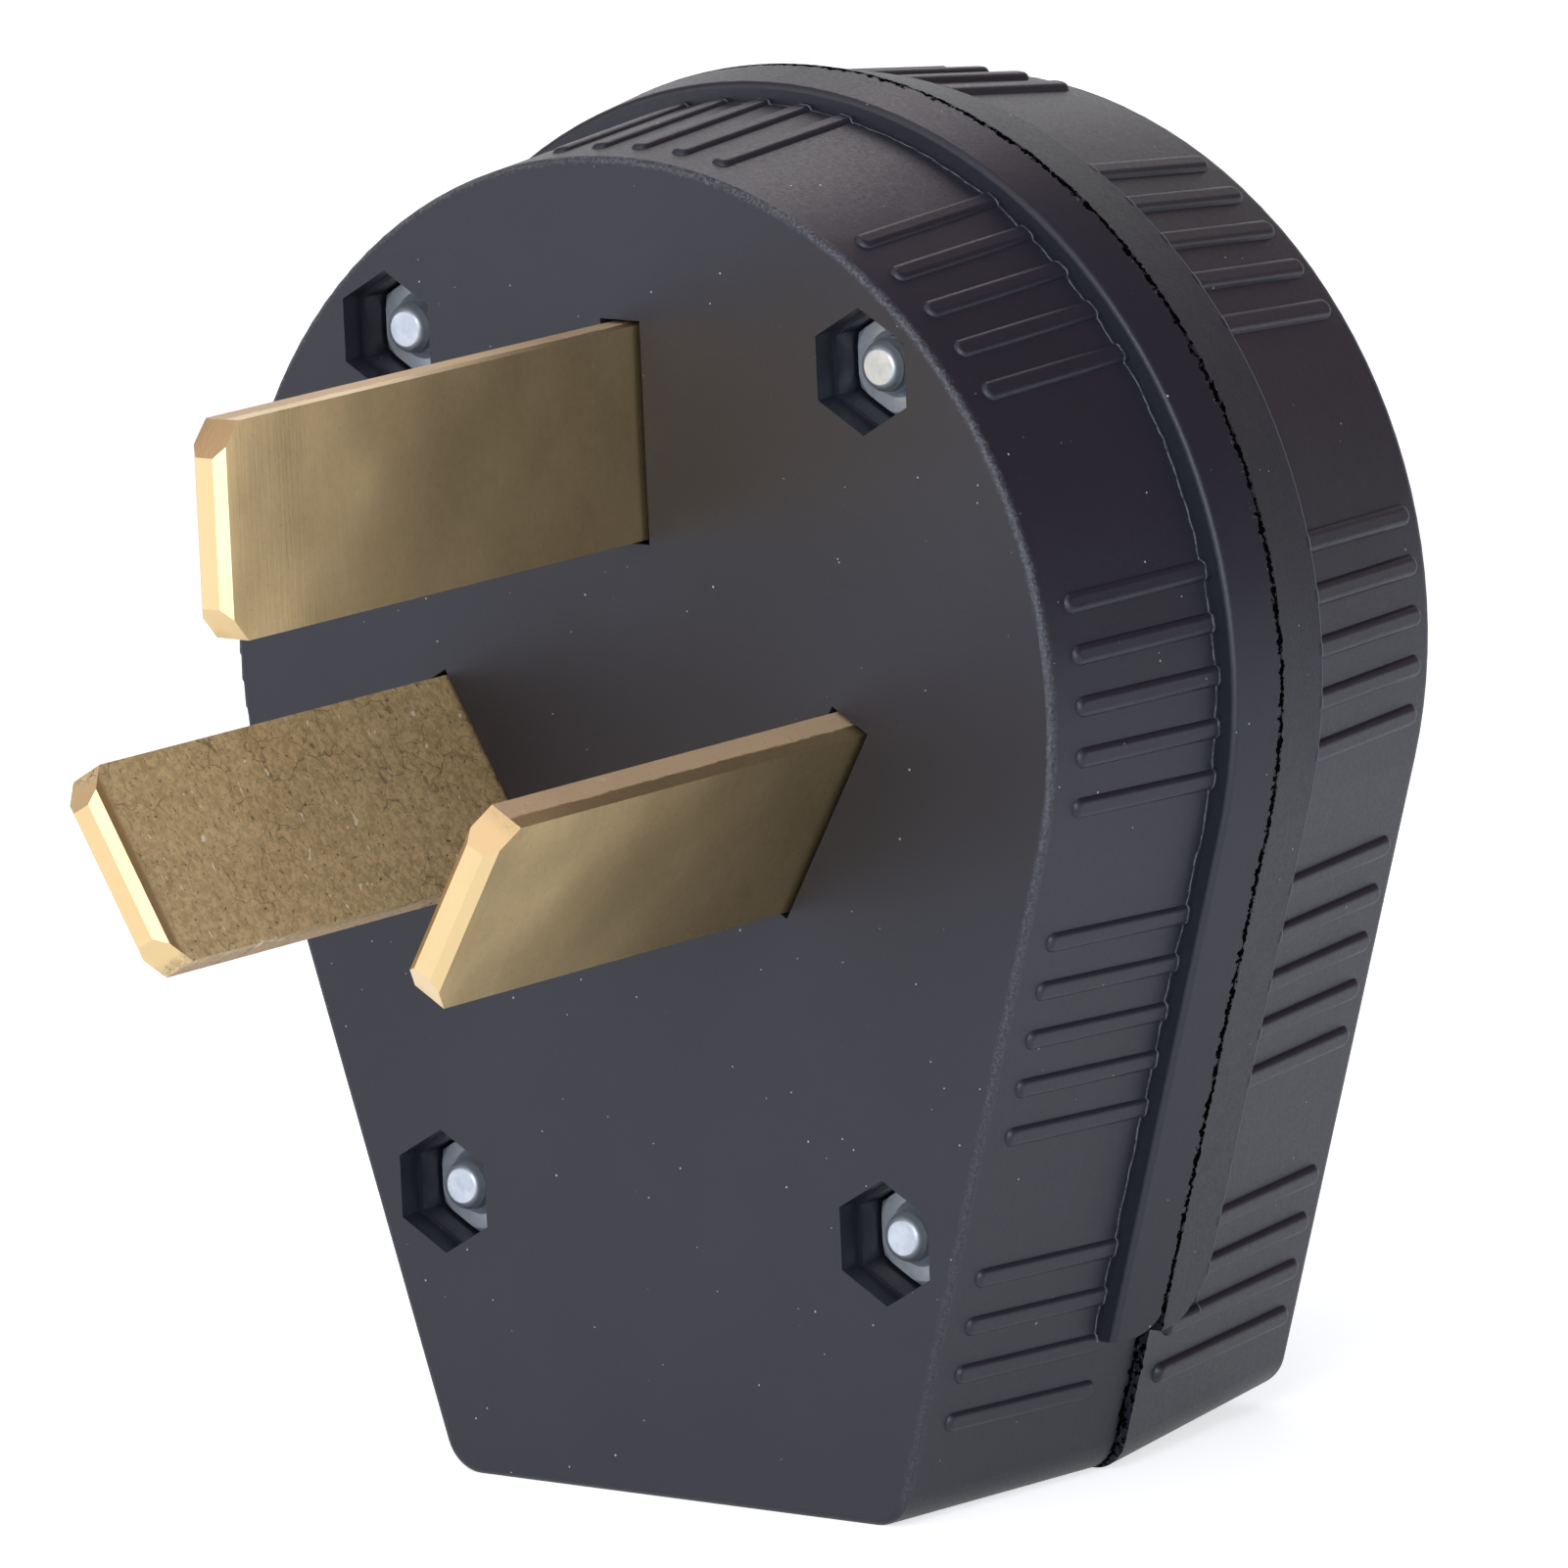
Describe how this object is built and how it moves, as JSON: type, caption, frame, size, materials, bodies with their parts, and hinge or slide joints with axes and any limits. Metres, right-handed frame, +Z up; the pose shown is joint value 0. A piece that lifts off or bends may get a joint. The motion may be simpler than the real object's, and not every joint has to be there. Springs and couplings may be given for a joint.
{
  "type": "industrial plug",
  "caption": "Rewireable industrial mains plug with flat brass blades in a crowfoot pattern and a two-part moulded body with grip ribs and a cable entry in its base.",
  "frame": {"origin": "on the face, at the centre of the three blades", "axes": "+Z up, from the flat base to the round top; -Y out of the face, along the blades; +X to the right as seen from in front of the face"},
  "size_m": [0.0846, 0.0946, 0.1047],
  "materials": {
    "shell": "moulded, satin",
    "brass": "rolled strip, slightly tarnished",
    "zinc_steel": "bright zinc plate"
  },
  "bodies": {
    "root": {"front_shell": "shell", "rear_shell": "shell", "top_blade": "brass", "left_blade": "brass", "right_blade": "brass", "top_terminal_plate": "zinc_steel", "left_terminal_plate": "zinc_steel", "right_terminal_plate": "zinc_steel", "terminal_screws": "zinc_steel", "terminal_lock_washers": "zinc_steel", "shell_bolts": "zinc_steel", "shell_nuts": "zinc_steel", "shell_lock_washers": "zinc_steel", "cord_clamp": "zinc_steel", "cord_clamp_screws": "zinc_steel", "clamp_inserts": "brass"}
  },
  "joints": []
}
